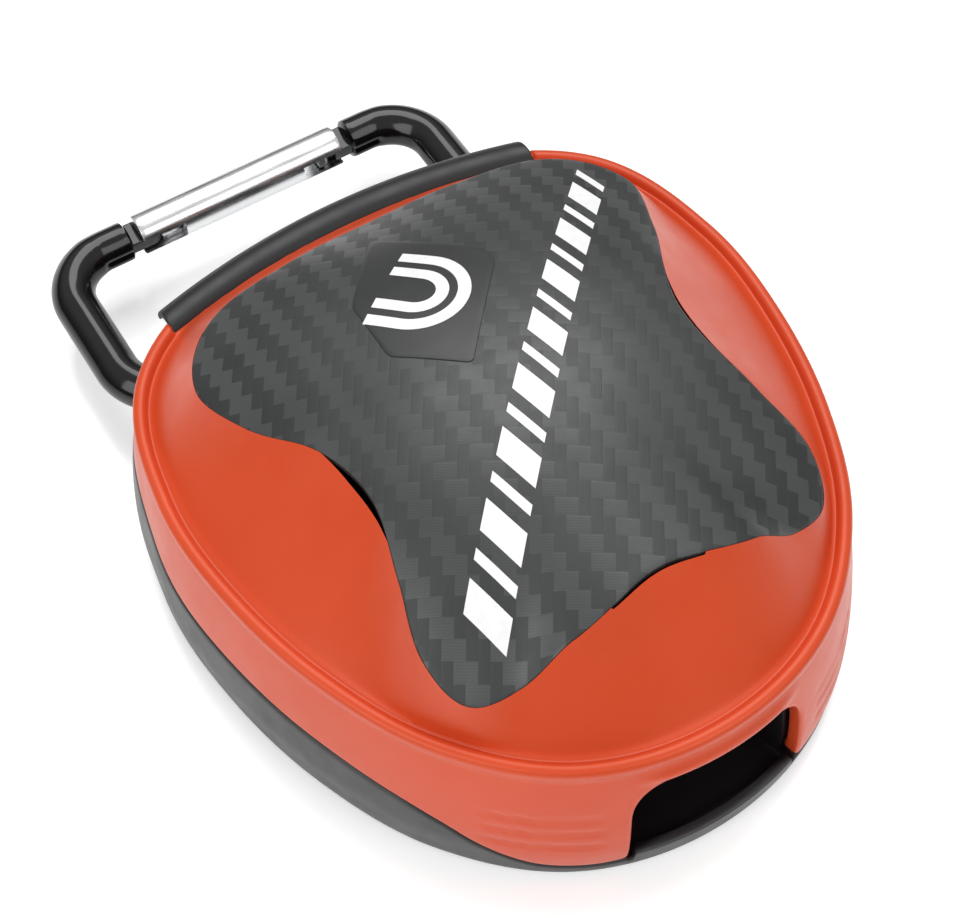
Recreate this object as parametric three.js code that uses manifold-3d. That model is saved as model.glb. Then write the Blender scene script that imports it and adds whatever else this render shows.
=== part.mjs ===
// Mouthguard case: a clamshell case with a domed lid, a carabiner at the back and a mouthguard inside.
// Millimetres. +Z is up, -Y is the front with the thumb notch, +Y is the back with the hinge.
// The origin is the centre of the flat bottom. Angles run from the front (-Y) towards +X, in degrees.
import * as THREE from 'three';
import { mergeVertices } from 'three/addons/utils/BufferGeometryUtils.js';
import Module from 'manifold-3d';

const wasm = await Module();
wasm.setup();

// ---- driving dimensions ----------------------------------------------------------------------------
const GAP = 0.3;                    // clearance between neighbouring pieces
const RIM_HEIGHT = 26;              // top of the bead round the lid
const DOME_HEIGHT = 45;             // top of the grip overlay
const FLARE = 3.3;                  // how far the walls lean out below the bead
const FLARE_HEIGHT = 6;             // the widest level of the walls
const BEAD_HALF_WIDTH = 0.8;
const SKIRT_THICKNESS = 2.2;
const WALL_THICKNESS = 2.2;
const UPSTAND_THICKNESS = 1.8;
const FLOOR_THICKNESS = 2.2;
const LID_DEPTH = 2.6;              // vertical thickness of the lid's roof
const OVERLAY_THICKNESS = 1.4;
const FLANK_HOLLOW = 1.1;           // 1 is a straight flank from the overlay to the bead
const OVERLAY_PROUD = 0.2;          // how far the overlay's edge stands above the lid round it
const UPSTAND_HEIGHT = 17.5;        // top of the base's inner rim, inside the lid's skirt
const REAR_PARTING = 16.7;          // top of the base at the hinge
const ANGLE_STEPS = 56;

// Half outlines, from the front (0 degrees) to the back (180), the same on both sides.
const RIM_RADIUS = [
  [0, 46.4], [22.5, 45.7], [45, 43.1], [67.5, 41.1], [90, 42], [112.5, 46.2], [135, 51.2], [157.5, 49.7],
  [180, 46.4],
];
const OVERLAY_RADIUS = [
  [0, 30.5], [22, 34.8], [32, 37.8], [41, 39.8], [50, 36.9], [60, 30.3], [74, 25], [90, 24.1], [104, 27.3],
  [116, 34.4], [126, 41], [141, 42.6], [160, 38.8], [180, 38.3],
];
const OVERLAY_EDGE_HEIGHT = [
  [0, 40.5], [22, 38], [32, 32.5], [41, 31], [50, 34], [60, 37.6], [74, 40.3], [90, 40.5], [104, 39.7],
  [116, 36.4], [126, 35], [141, 34.5], [160, 34.5], [180, 32.5],
];
const PARTING_HEIGHT = [
  [0, 3], [28, 3], [38, 6.6], [44, 9.6], [51, 11.6], [62, 12.7], [80, 13.1], [104, 13.2],
  [124, REAR_PARTING], [180, REAR_PARTING],
];

// Thumb notch in the lid's skirt, and the recess in the base behind it.
const NOTCH = { topHalfWidth: 12.6, bottomHalfWidth: 13.2, top: 20.3, cornerRadius: 5 };
const RECESS = { halfWidth: 12.4, ledge: 4.5, back: -41.5 };

// Hinge: a straight pin under a bowed cover strip.
const HINGE = { y: 45, z: 22.7, pinRadius: 0.9, boreRadius: 1.05, knuckleRadius: 1.7 };
const KNUCKLES = { count: 5, span: 44, gap: 0.4 };
const COVER = { halfLength: 29.2, y: 47.3, z: 22.6, bow: 4.2, radius: 3.3, thickness: 0.9, from: 10, to: 125 };

// Carabiner: it lies level behind the case, its spine through a lug under the hinge.
const CARABINER = {
  left: -35.4, right: 25.7, spineY: 43.25, gateY: 71.7, z: 9.3, rodRadius: 3.25, cornerRadius: 8,
};
const LUG = { halfWidth: 11, radius: 5.6, boreRadius: 3.7 };
const REAR_WALL_Y = 38.7;           // outer face of the base's back wall, in front of the carabiner's spine
const SHELF_BOTTOM = 14.9;          // underside of the shelf that carries the hinge
const GATE = { left: -21.9, right: 12.25, radius: 3.15, slot: 2.8, slotLength: 6.9, boreRadius: 1.75 };
const COLLAR_GAP = { hinge: 1.5, nose: 1.8 };   // from the gate's ends to the frame's
const GATE_PIVOT_X = -20.2;
const LATCH_X = 10.3;
const TONGUE = { thickness: 2, radius: 2.2 };
const PIN = { pivotRadius: 0.75, latchRadius: 0.6, halfLength: 2.7 };
const SPRING = { start: -13.8, end: -5, coilRadius: 1.15, wireRadius: 0.25, turns: 7 };
const PLUNGER = { start: -17.7, end: -14.8, radius: 1.4 };

// Mouthguard: a U-shaped tray with a fitted liner.
const GUARD = { halfWidth: 25.5, depth: 22, leg: 20, shift: -2, floor: FLOOR_THICKNESS + GAP };
const GUARD_WALLS = { outerTop: 22.5, innerTop: 15.5, trough: 6.5, outer: 6.2, inner: -6, wall: 2.6 };

// Badge: a five-sided plate let into the overlay.
const BADGE_OUTLINE = [[-2.7, 32.2], [8.3, 18.1], [-4.6, 3.2], [-12.4, 10.5], [-11.8, 21]];
const BADGE_THICKNESS = 0.6;

// ---- small helpers ---------------------------------------------------------------------------------
const radians = THREE.MathUtils.degToRad;
const smooth = (value, from, to) => THREE.MathUtils.smoothstep(value, from, to);
const steps = (count) => Array.from({ length: count + 1 }, (_, index) => index / count);

/** An angle's distance from the front, 0 to 180 degrees. */
const fromFront = (angle) => Math.abs(((angle + 540) % 360) - 180);

/** The height of a smooth curve through [angle, value] keys, mirrored about the front and the back. */
function along(keys, angle) {
  const wrapped = fromFront(angle);
  const first = [-keys[1][0], keys[1][1]];
  const last = keys.length - 1;
  const beyond = [360 - keys[last - 1][0], keys[last - 1][1]];
  const all = [first, ...keys, beyond];
  let index = 1;
  while (index < all.length - 3 && wrapped > all[index + 1][0]) index += 1;
  const [before, start, end, after] = all.slice(index - 1, index + 3);
  const width = end[0] - start[0];
  const part = (wrapped - start[0]) / width;
  const startSlope = ((end[1] - before[1]) / (end[0] - before[0])) * width;
  const endSlope = ((after[1] - start[1]) / (after[0] - start[0])) * width;
  const square = part * part;
  const cube = square * part;
  return (2 * cube - 3 * square + 1) * start[1] + (cube - 2 * square + part) * startSlope
    + (3 * square - 2 * cube) * end[1] + (cube - square) * endSlope;
}

/** A closed solid round the Z axis; sectionAt(angle) lists [radius, height] from pole to pole. */
function spin(sectionAt) {
  const sections = steps(ANGLE_STEPS).slice(0, -1).map((part) => sectionAt(part * 360));
  const rings = sections[0].length - 2;
  const positions = [0, 0, sections[0][0][1]];
  for (let ring = 1; ring <= rings; ring += 1) {
    sections.forEach((section, index) => {
      const angle = (index / ANGLE_STEPS) * Math.PI * 2;
      const [radius, height] = section[ring];
      positions.push(radius * Math.sin(angle), -radius * Math.cos(angle), height);
    });
  }
  positions.push(0, 0, sections[0][rings + 1][1]);
  const vertex = (ring, index) => 1 + (ring - 1) * ANGLE_STEPS + (index % ANGLE_STEPS);
  const lastPole = positions.length / 3 - 1;
  const indices = [];
  for (let index = 0; index < ANGLE_STEPS; index += 1) {
    indices.push(0, vertex(1, index), vertex(1, index + 1));
    for (let ring = 1; ring < rings; ring += 1) {
      const [a, b] = [vertex(ring, index), vertex(ring, index + 1)];
      const [c, d] = [vertex(ring + 1, index), vertex(ring + 1, index + 1)];
      indices.push(a, c, d, a, d, b);
    }
    indices.push(vertex(rings, index), lastPole, vertex(rings, index + 1));
  }
  const geometry = new THREE.BufferGeometry();
  geometry.setAttribute('position', new THREE.Float32BufferAttribute(positions, 3));
  geometry.setIndex(indices);
  return geometry;
}

function toSolid(geometry) {
  const bare = geometry.clone();
  bare.deleteAttribute('normal');
  bare.deleteAttribute('uv');
  const merged = mergeVertices(bare, 1e-4);
  const vertProperties = new Float32Array(merged.attributes.position.array);
  const triVerts = new Uint32Array(merged.index.array);
  return new wasm.Manifold(new wasm.Mesh({ numProp: 3, vertProperties, triVerts }));
}

function toGeometry(solid) {
  const { vertProperties, triVerts } = solid.getMesh();
  const geometry = new THREE.BufferGeometry();
  geometry.setAttribute('position', new THREE.Float32BufferAttribute(vertProperties, 3));
  geometry.setIndex(Array.from(triVerts));
  geometry.computeVertexNormals();
  return geometry;
}

/** A box between two corners. */
function box(low, high) {
  const size = high.map((value, axis) => value - low[axis]);
  const middle = high.map((value, axis) => (value + low[axis]) / 2);
  return toSolid(new THREE.BoxGeometry(...size).translate(...middle));
}

/** A cylinder along X through y, z. */
function rodX(radius, from, to, y, z, sides = 20) {
  const geometry = new THREE.CylinderGeometry(radius, radius, to - from, sides);
  return toSolid(geometry.rotateZ(Math.PI / 2).translate((from + to) / 2, y, z));
}

/** A cylinder along Z through x, y. */
function rodZ(radius, from, to, x, y, sides = 16) {
  const geometry = new THREE.CylinderGeometry(radius, radius, to - from, sides);
  return toSolid(geometry.rotateX(Math.PI / 2).translate(x, y, (from + to) / 2));
}

/** An outline in X, Y raised between two heights. */
function prism(points, bottom, top) {
  const shape = new THREE.Shape(points.map(([x, y]) => new THREE.Vector2(x, y)));
  const geometry = new THREE.ExtrudeGeometry(shape, { depth: top - bottom, bevelEnabled: false });
  return toSolid(geometry.translate(0, 0, bottom));
}

/** An outline in Y, Z drawn along X, then bowed like the back of the case. */
function bowed(shape, halfLength) {
  const extrude = { depth: 2 * halfLength, steps: 12, bevelEnabled: false, curveSegments: 6 };
  const geometry = new THREE.ExtrudeGeometry(shape, extrude);
  geometry.rotateY(Math.PI / 2).rotateX(Math.PI / 2).translate(-halfLength, 0, 0);
  const position = geometry.attributes.position;
  for (let index = 0; index < position.count; index += 1) {
    const x = position.getX(index);
    position.setY(index, position.getY(index) - COVER.bow * (x / COVER.halfLength) ** 2);
  }
  return toSolid(geometry);
}

function piece(name, solid, color, roughness, metalness = 0) {
  const material = new THREE.MeshStandardMaterial({ color, roughness, metalness });
  const mesh = new THREE.Mesh(toGeometry(solid), material);
  mesh.name = name;
  return mesh;
}

// ---- surfaces of the case --------------------------------------------------------------------------
/** Radius of the case's wall at an angle and a height. */
function wallRadius(angle, height) {
  const rise = Math.max(0, (height - FLARE_HEIGHT) / (RIM_HEIGHT - FLARE_HEIGHT));
  const tuck = 0.3 * Math.max(0, 1 - height / FLARE_HEIGHT);
  return along(RIM_RADIUS, angle) + FLARE * (1 - Math.min(1, rise) ** 1.6) - tuck;
}

/** Height of the overlay's top at a share of the way from its centre to its edge. */
function overlayHeight(angle, share) {
  return DOME_HEIGHT - (DOME_HEIGHT - along(OVERLAY_EDGE_HEIGHT, angle)) * share ** 2;
}

/** The lid's flank between the overlay's edge (0) and the groove inside the bead (1). */
function flankPoint(angle, share) {
  const inner = along(OVERLAY_RADIUS, angle) + 0.6;
  const outer = along(RIM_RADIUS, angle) - 2 * BEAD_HALF_WIDTH;
  const top = along(OVERLAY_EDGE_HEIGHT, angle) - OVERLAY_PROUD;
  const bottom = RIM_HEIGHT - 1;
  return [inner + (outer - inner) * share, bottom + (top - bottom) * (1 - share) ** FLANK_HOLLOW];
}

function lidBottom(angle) {
  return along(PARTING_HEIGHT, angle) + GAP + 0.6 * smooth(fromFront(angle), 118, 135);
}

function overlaySection(angle, raise, thickness) {
  const radius = along(OVERLAY_RADIUS, angle);
  const shares = steps(5);
  const top = shares.map((share) => [radius * share, overlayHeight(angle, share) + raise]);
  const under = [...shares].reverse();
  return [...top, ...under.map((share) => [radius * share, overlayHeight(angle, share) + raise - thickness])];
}

function lidSection(angle) {
  const seat = OVERLAY_THICKNESS + GAP;
  const overlay = along(OVERLAY_RADIUS, angle);
  const rim = along(RIM_RADIUS, angle);
  const edge = along(OVERLAY_EDGE_HEIGHT, angle);
  const bottom = lidBottom(angle);
  const roof = steps(4).map((share) => [overlay * share, overlayHeight(angle, share) - seat]);
  const flank = steps(5).map((share) => flankPoint(angle, share));
  const bead = [
    [rim - BEAD_HALF_WIDTH, RIM_HEIGHT - 0.2],
    [rim, RIM_HEIGHT],
    [rim + BEAD_HALF_WIDTH, RIM_HEIGHT - 0.6],
  ];
  const levels = [0.12, 0.35, 0.65, 1].map((share) => RIM_HEIGHT + (bottom - RIM_HEIGHT) * share);
  const outside = levels.map((height) => [wallRadius(angle, height), height]);
  const inside = [...outside].reverse().map(([radius, height]) => [radius - SKIRT_THICKNESS, height]);
  const ceiling = [0.75, 0.5, 0.25, 0].map((share) => flankPoint(angle, share));
  const lowered = ceiling.map(([radius, height]) => [radius, height - LID_DEPTH]);
  const underRoof = [0.85, 0.6, 0.3, 0].map((share) => [
    overlay * share,
    overlayHeight(angle, share) - seat - LID_DEPTH,
  ]);
  return [...roof, [overlay + GAP, edge - seat], ...flank, ...bead, ...outside, ...inside, ...lowered,
    ...underRoof];
}

// ---- the lid ---------------------------------------------------------------------------------------
/** A crescent slot under the overlay's edge, between two angles. */
function ventSlot(from, to) {
  const ring = (offset) => steps(10).map((part) => {
    const angle = from + (to - from) * part;
    const radius = along(OVERLAY_RADIUS, angle) + offset * Math.sin(Math.PI * part) ** 0.5;
    return [radius * Math.sin(radians(angle)), -radius * Math.cos(radians(angle))];
  });
  return prism([...ring(1), ...ring(-2.2).reverse().slice(1, -1)], 20, DOME_HEIGHT + 5);
}

function thumbNotch() {
  const { topHalfWidth: topX, bottomHalfWidth: bottomX, top, cornerRadius: radius } = NOTCH;
  const shape = new THREE.Shape();
  shape.moveTo(-bottomX, -5);
  shape.lineTo(bottomX, -5);
  shape.lineTo(topX, top - radius);
  shape.quadraticCurveTo(topX, top, topX - radius, top);
  shape.lineTo(radius - topX, top);
  shape.quadraticCurveTo(-topX, top, -topX, top - radius);
  const geometry = new THREE.ExtrudeGeometry(shape, { depth: 20, bevelEnabled: false, curveSegments: 5 });
  return toSolid(geometry.rotateX(Math.PI / 2).translate(0, -39, 0));
}

/** Room for the hinge cover, and for everything below it, in the back of the lid. */
function hingeChannel() {
  const reach = COVER.radius + GAP;
  const shape = new THREE.Shape();
  shape.absarc(COVER.y, COVER.z, reach, radians(COVER.to + 3), radians(180), false);
  shape.lineTo(COVER.y - reach, -5);
  shape.lineTo(COVER.y + 15, -5);
  shape.lineTo(COVER.y + 15, RIM_HEIGHT + 6);
  shape.lineTo(COVER.y + reach * Math.cos(radians(COVER.to + 3)), RIM_HEIGHT + 6);
  return bowed(shape, COVER.halfLength + GAP);
}

/** One hinge knuckle; its arm is a box from the axis out to a corner in Y, Z. */
function knuckle(index, low, high) {
  const width = KNUCKLES.span / KNUCKLES.count;
  const from = -KNUCKLES.span / 2 + index * width + KNUCKLES.gap / 2;
  const to = from + width - KNUCKLES.gap;
  const barrel = rodX(HINGE.knuckleRadius, from, to, HINGE.y, HINGE.z);
  return barrel.add(box([from, ...low], [to, ...high]));
}

const hingeBore = () => rodX(HINGE.boreRadius, -40, 40, HINGE.y, HINGE.z);

function lidShell() {
  const slots = [ventSlot(68, 100), ventSlot(-100, -68), ventSlot(-12.5, 12.5)];
  let lid = toSolid(spin(lidSection)).subtract(thumbNotch()).subtract(hingeChannel());
  for (const slot of slots) lid = lid.subtract(slot);
  for (let index = 1; index < KNUCKLES.count; index += 2) {
    lid = lid.add(knuckle(index, [HINGE.y - 3.2, HINGE.z - 0.6], [HINGE.y - 1.3, RIM_HEIGHT + 0.6]));
  }
  return lid.subtract(hingeBore());
}

function gripOverlay() {
  const sheet = toSolid(spin((angle) => overlaySection(angle, 0, OVERLAY_THICKNESS)));
  const below = toSolid(spin((angle) => overlaySection(angle, -BADGE_THICKNESS - GAP, 30)));
  const centre = badgeCentre();
  const grown = BADGE_OUTLINE.map(([x, y]) => {
    const [dx, dy] = [x - centre[0], y - centre[1]];
    const length = Math.hypot(dx, dy);
    return [x + (dx / length) * 1.5 * GAP, y + (dy / length) * 1.5 * GAP];
  });
  return sheet.subtract(prism(grown, 20, 60).subtract(below));
}

function badgeCentre() {
  const total = BADGE_OUTLINE.reduce(([sumX, sumY], [x, y]) => [sumX + x, sumY + y], [0, 0]);
  return total.map((value) => value / BADGE_OUTLINE.length);
}

function badgePlate() {
  const below = toSolid(spin((angle) => overlaySection(angle, -BADGE_THICKNESS, 30)));
  const under = toSolid(spin((angle) => overlaySection(angle, 0, 30)));
  return prism(BADGE_OUTLINE, 20, 60).intersect(under).subtract(below);
}

function hingeCover() {
  const { y, z, radius, thickness, from, to, halfLength } = COVER;
  const shape = new THREE.Shape();
  shape.absarc(y, z, radius, radians(from), radians(to), false);
  shape.absarc(y, z, radius - thickness, radians(to), radians(from), true);
  return bowed(shape, halfLength);
}

// ---- the base --------------------------------------------------------------------------------------
/** The inner upstand stands at the front and sides; it first drops, then widens into the back wall. */
const upstandRise = (angle) => 1 - smooth(fromFront(angle), 86, 95);
const upstandInset = (angle) => 1 - smooth(fromFront(angle), 96, 105);

function baseOutside(angle) {
  const parting = along(PARTING_HEIGHT, angle);
  const inset = (SKIRT_THICKNESS + GAP) * upstandInset(angle);
  const top = parting + (UPSTAND_HEIGHT - parting) * upstandRise(angle) + 0.01;
  const levels = [1, 0.6, 0.25].map((part) => 1 + (parting - 1) * part);
  return [
    [0, top],
    [wallRadius(angle, top) - inset, top],
    [wallRadius(angle, parting) - inset - 0.01, parting],
    ...levels.map((height) => [wallRadius(angle, height), height]),
    [wallRadius(angle, 1), 1],
    [wallRadius(angle, 0) - 1, 0],
    [0, 0],
  ];
}

function baseCavity(angle) {
  const parting = along(PARTING_HEIGHT, angle);
  const share = upstandInset(angle);
  const upper = WALL_THICKNESS + (SKIRT_THICKNESS + GAP + UPSTAND_THICKNESS - WALL_THICKNESS) * share;
  const lower = upper + (WALL_THICKNESS - upper) * smooth(parting, 5, 11);
  const step = Math.max(parting - 1.9, 4.6);
  return [
    [0, 40],
    [wallRadius(angle, 22) - upper, 40],
    [wallRadius(angle, 18) - upper, 18],
    [wallRadius(angle, step) - upper, step],
    [wallRadius(angle, step - 1.2) - lower, step - 1.2],
    [wallRadius(angle, 4) - lower - 1.2, FLOOR_THICKNESS],
    [0, FLOOR_THICKNESS],
  ];
}

function carabinerLug() {
  const { spineY: y, z } = CARABINER;
  const barrel = rodX(LUG.radius, -LUG.halfWidth, LUG.halfWidth, y, z, 24);
  const root = box([-LUG.halfWidth, REAR_WALL_Y - 1, z - LUG.radius], [LUG.halfWidth, y, z + LUG.radius]);
  const neck = box([-LUG.halfWidth, REAR_WALL_Y - 1, z], [LUG.halfWidth, y + LUG.radius, SHELF_BOTTOM + 1]);
  return barrel.add(root).add(neck);
}

function baseShell() {
  const far = 80;
  const behind = box([-far, REAR_WALL_Y, -5], [far, far, SHELF_BOTTOM]);
  const recessCutter = box([-RECESS.halfWidth, -far, RECESS.ledge], [RECESS.halfWidth, RECESS.back, far]);
  const recessWall = box(
    [-RECESS.halfWidth - UPSTAND_THICKNESS, -far, -5],
    [RECESS.halfWidth + UPSTAND_THICKNESS, RECESS.back + UPSTAND_THICKNESS, far],
  );
  const backWall = box([-far, REAR_WALL_Y - WALL_THICKNESS, -5], [far, far, far]);
  const cavity = toSolid(spin(baseCavity)).subtract(recessWall).subtract(backWall);
  let base = toSolid(spin(baseOutside)).subtract(behind).subtract(cavity).subtract(recessCutter);
  base = base.add(carabinerLug());
  base = base.subtract(rodX(LUG.boreRadius, -40, 40, CARABINER.spineY, CARABINER.z, 24));
  for (let index = 0; index < KNUCKLES.count; index += 2) {
    base = base.add(knuckle(index, [HINGE.y - 2.2, REAR_PARTING - 1], [HINGE.y - 0.7, HINGE.z]));
  }
  return base.subtract(hingeBore());
}

const hingePin = () => {
  const reach = KNUCKLES.span / 2 + 0.5;
  return rodX(HINGE.pinRadius, -reach, reach, HINGE.y, HINGE.z);
};

// ---- the carabiner ---------------------------------------------------------------------------------
function carabinerFrame() {
  const { left, right, spineY, gateY, z, rodRadius, cornerRadius: corner } = CARABINER;
  const { thickness, radius } = TONGUE;
  const start = GATE.left - COLLAR_GAP.hinge;
  const end = GATE.right + COLLAR_GAP.nose;
  const route = new THREE.Path();
  route.moveTo(start, gateY);
  route.lineTo(left + corner, gateY);
  route.absarc(left + corner, gateY - corner, corner, radians(90), radians(180), false);
  route.absarc(left + corner, spineY + corner, corner, radians(180), radians(270), false);
  route.absarc(right - corner, spineY + corner, corner, radians(-90), 0, false);
  route.absarc(right - corner, gateY - corner, corner, 0, radians(90), false);
  route.lineTo(end, gateY);
  const points = route.getSpacedPoints(60).map((point) => new THREE.Vector3(point.x, point.y, z));
  const ring = new THREE.Shape().absarc(0, 0, rodRadius, 0, Math.PI * 2, false);
  const extrude = { steps: 52, curveSegments: 8, extrudePath: new THREE.CatmullRomCurve3(points) };
  const rod = toSolid(new THREE.ExtrudeGeometry(ring, extrude));
  const half = thickness / 2;
  const hingeTongue = box([start - 1, gateY - radius, z - half], [GATE_PIVOT_X, gateY + radius, z + half])
    .add(rodZ(radius, z - half, z + half, GATE_PIVOT_X, gateY))
    .subtract(rodZ(PIN.pivotRadius + 0.1, z - 5, z + 5, GATE_PIVOT_X, gateY));
  const catchGap = PIN.latchRadius + 0.35;
  const catchSlot = box([LATCH_X - catchGap, gateY - 5, z - 5], [LATCH_X + catchGap, gateY + catchGap, z + 5]);
  const nose = box([LATCH_X - 2, gateY - radius, z - half], [end + 1, gateY + radius, z + half]);
  return rod.add(hingeTongue).add(nose.subtract(catchSlot));
}

function carabinerGate() {
  const { gateY: y, z } = CARABINER;
  const { left, right, radius, slot, slotLength, boreRadius } = GATE;
  const slotBox = (from, to) => box([from, y - 5, z - slot / 2], [to, y + 5, z + slot / 2]);
  return rodX(radius, left, right, y, z, 24)
    .subtract(slotBox(left - 1, left + slotLength))
    .subtract(slotBox(right - slotLength, right + 1))
    .subtract(rodX(boreRadius, PLUNGER.start - 0.5, SPRING.end + 0.5, y, z))
    .subtract(rodZ(PIN.pivotRadius + 0.1, z - 5, z + 5, GATE_PIVOT_X, y))
    .subtract(rodZ(PIN.latchRadius + 0.1, z - 5, z + 5, LATCH_X, y));
}

const crossPin = (radius, x) => {
  const { gateY, z } = CARABINER;
  return rodZ(radius, z - PIN.halfLength, z + PIN.halfLength, x, gateY);
};

function gateSpring() {
  const { start, end, coilRadius, wireRadius, turns } = SPRING;
  const points = steps(turns * 8).map((part) => {
    const turn = part * turns * Math.PI * 2;
    const x = start + (end - start) * part;
    return new THREE.Vector3(
      x,
      CARABINER.gateY + coilRadius * Math.cos(turn),
      CARABINER.z + coilRadius * Math.sin(turn),
    );
  });
  const ring = new THREE.Shape().absarc(0, 0, wireRadius, 0, Math.PI * 2, false);
  const extrude = { steps: turns * 8, curveSegments: 4, extrudePath: new THREE.CatmullRomCurve3(points) };
  return toSolid(new THREE.ExtrudeGeometry(ring, extrude));
}

const gatePlunger = () => rodX(PLUNGER.radius, PLUNGER.start, PLUNGER.end, CARABINER.gateY, CARABINER.z);

// ---- the mouthguard --------------------------------------------------------------------------------
/** Half of a U-shaped line at an offset from the middle of the tray, from one end to the other. */
function archLine(offset, extra) {
  const across = GUARD.halfWidth + offset;
  const along90 = steps(20).map((part) => {
    const turn = Math.PI * (part - 0.5);
    return [across * Math.sin(turn), -(GUARD.depth + offset) * Math.cos(turn)];
  });
  const back = GUARD.leg + extra;
  return [[-across, back], ...along90, [across, back]];
}

/** The band between two offsets, raised between two heights. */
function archBand(inner, outer, bottom, top, extra = 0) {
  const outline = [...archLine(outer, extra), ...archLine(inner, extra).reverse()];
  return prism(outline.map(([x, y]) => [x, y + GUARD.shift]), bottom, top);
}

function mouthguardShell() {
  const { outerTop, innerTop, trough, outer, inner, wall } = GUARD_WALLS;
  const tray = archBand(inner, outer, GUARD.floor, innerTop);
  const lip = archBand(outer - wall, outer, innerTop - 1, outerTop);
  return tray.add(lip).subtract(archBand(inner + wall, outer - wall, trough, 40, 5));
}

function mouthguardLiner() {
  const { innerTop, trough, outer, inner, wall } = GUARD_WALLS;
  const skin = 1.2;
  const low = inner + wall + GAP;
  const high = outer - wall - GAP;
  const filling = archBand(low, high, trough + GAP, innerTop - 1, -1);
  return filling.subtract(archBand(low + skin, high - skin, trough + GAP + skin, 40, 5));
}

// ---- the assembly ----------------------------------------------------------------------------------
const group = new THREE.Group();
group.add(
  piece('base_shell', baseShell(), 0x3b3d3e, 0.5),
  piece('hinge_pin', hingePin(), 0xb8babd, 0.3, 1),
  piece('mouthguard_shell', mouthguardShell(), 0x202224, 0.45),
  piece('mouthguard_liner', mouthguardLiner(), 0xc8271b, 0.5),
  piece('lid_shell', lidShell(), 0xd23a24, 0.38),
  piece('grip_overlay', gripOverlay(), 0x505254, 0.55),
  piece('badge_plate', badgePlate(), 0x5c5e60, 0.45),
  piece('hinge_cover', hingeCover(), 0x333637, 0.45),
  piece('carabiner_frame', carabinerFrame(), 0x111214, 0.25),
  piece('gate_pivot_pin', crossPin(PIN.pivotRadius, GATE_PIVOT_X), 0xb8babd, 0.3, 1),
  piece('carabiner_gate', carabinerGate(), 0xd5d7da, 0.25, 1),
  piece('gate_latch_pin', crossPin(PIN.latchRadius, LATCH_X), 0xb8babd, 0.3, 1),
  piece('gate_spring', gateSpring(), 0x9a9da0, 0.35, 1),
  piece('gate_plunger', gatePlunger(), 0x8c8f92, 0.4, 1),
);

export default group;
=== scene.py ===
"""Mouthguard case with a carabiner: the visual model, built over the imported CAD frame.

Lengths are in millimetres in the shape code and become metres in make_object. Angles run from the front
of the case (-Y) towards +X, in degrees, as they do in the CAD model.
"""
import math

import bpy
import numpy as np
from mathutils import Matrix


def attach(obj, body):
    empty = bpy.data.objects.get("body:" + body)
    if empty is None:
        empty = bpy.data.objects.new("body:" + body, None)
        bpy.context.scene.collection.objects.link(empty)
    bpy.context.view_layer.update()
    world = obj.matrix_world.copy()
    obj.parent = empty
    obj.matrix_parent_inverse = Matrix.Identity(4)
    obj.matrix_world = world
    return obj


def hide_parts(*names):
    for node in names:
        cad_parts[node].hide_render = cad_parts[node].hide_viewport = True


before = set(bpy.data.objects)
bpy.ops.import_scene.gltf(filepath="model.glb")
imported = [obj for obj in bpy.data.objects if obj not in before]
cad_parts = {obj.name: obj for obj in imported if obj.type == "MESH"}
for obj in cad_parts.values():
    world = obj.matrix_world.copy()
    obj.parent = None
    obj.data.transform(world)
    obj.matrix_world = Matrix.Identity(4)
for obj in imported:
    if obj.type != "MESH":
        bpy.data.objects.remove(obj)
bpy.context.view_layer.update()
MM = 0.001

# ---- driving dimensions, the same as the CAD model's ----
RIM_HEIGHT = 26.0
DOME_HEIGHT = 45.0
FLARE = 3.3
FLARE_HEIGHT = 6.0
SKIRT_THICKNESS = 2.2
UPSTAND_THICKNESS = 1.8
UPSTAND_HEIGHT = 17.5
FLOOR_THICKNESS = 2.2
REAR_PARTING = 16.7
REAR_WALL_Y = 38.7
SHELF_BOTTOM = 14.9
OVERLAY_THICKNESS = 1.4
FLANK_HOLLOW = 1.1
RIM_RADIUS = [
    (0, 46.4), (22.5, 45.7), (45, 43.1), (67.5, 41.1), (90, 42), (112.5, 46.2), (135, 51.2), (157.5, 49.7),
    (180, 46.4),
]
OVERLAY_RADIUS = [
    (0, 30.5), (22, 34.8), (32, 37.8), (41, 39.8), (50, 36.9), (60, 30.3), (74, 25), (90, 24.1), (104, 27.3),
    (116, 34.4), (126, 41), (141, 42.6), (160, 38.8), (180, 38.3),
]
OVERLAY_EDGE_HEIGHT = [
    (0, 40.5), (22, 38), (32, 32.5), (41, 31), (50, 34), (60, 37.6), (74, 40.3), (90, 40.5), (104, 39.7),
    (116, 36.4), (126, 35), (141, 34.5), (160, 34.5), (180, 32.5),
]
PARTING_HEIGHT = [
    (0, 3), (28, 3), (38, 6.6), (44, 9.6), (51, 11.6), (62, 12.7), (80, 13.1), (104, 13.2),
    (124, REAR_PARTING), (180, REAR_PARTING),
]
RECESS_LEDGE = 4.5
RECESS_BACK = 41.5
HINGE_Y, HINGE_Z = 45.0, 22.7
LUG_RADIUS, LUG_BORE, LUG_HALF_WIDTH = 5.6, 3.7, 11.0
CARABINER = {"left": -35.4, "right": 25.7, "spine": 43.25, "gate": 71.7, "z": 9.3, "rod": 3.25, "corner": 8.0}
GATE = {"left": -21.9, "right": 12.25, "radius": 3.15, "bore": 1.75, "slot": 2.8, "slot_length": 6.9}
GATE_BORE_ENDS = (-18.2, -4.5)
FRAME_ENDS = (GATE["left"] - 1.5, GATE["right"] + 1.8)
GATE_PIVOT_X, LATCH_X = -20.2, 10.3

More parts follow.
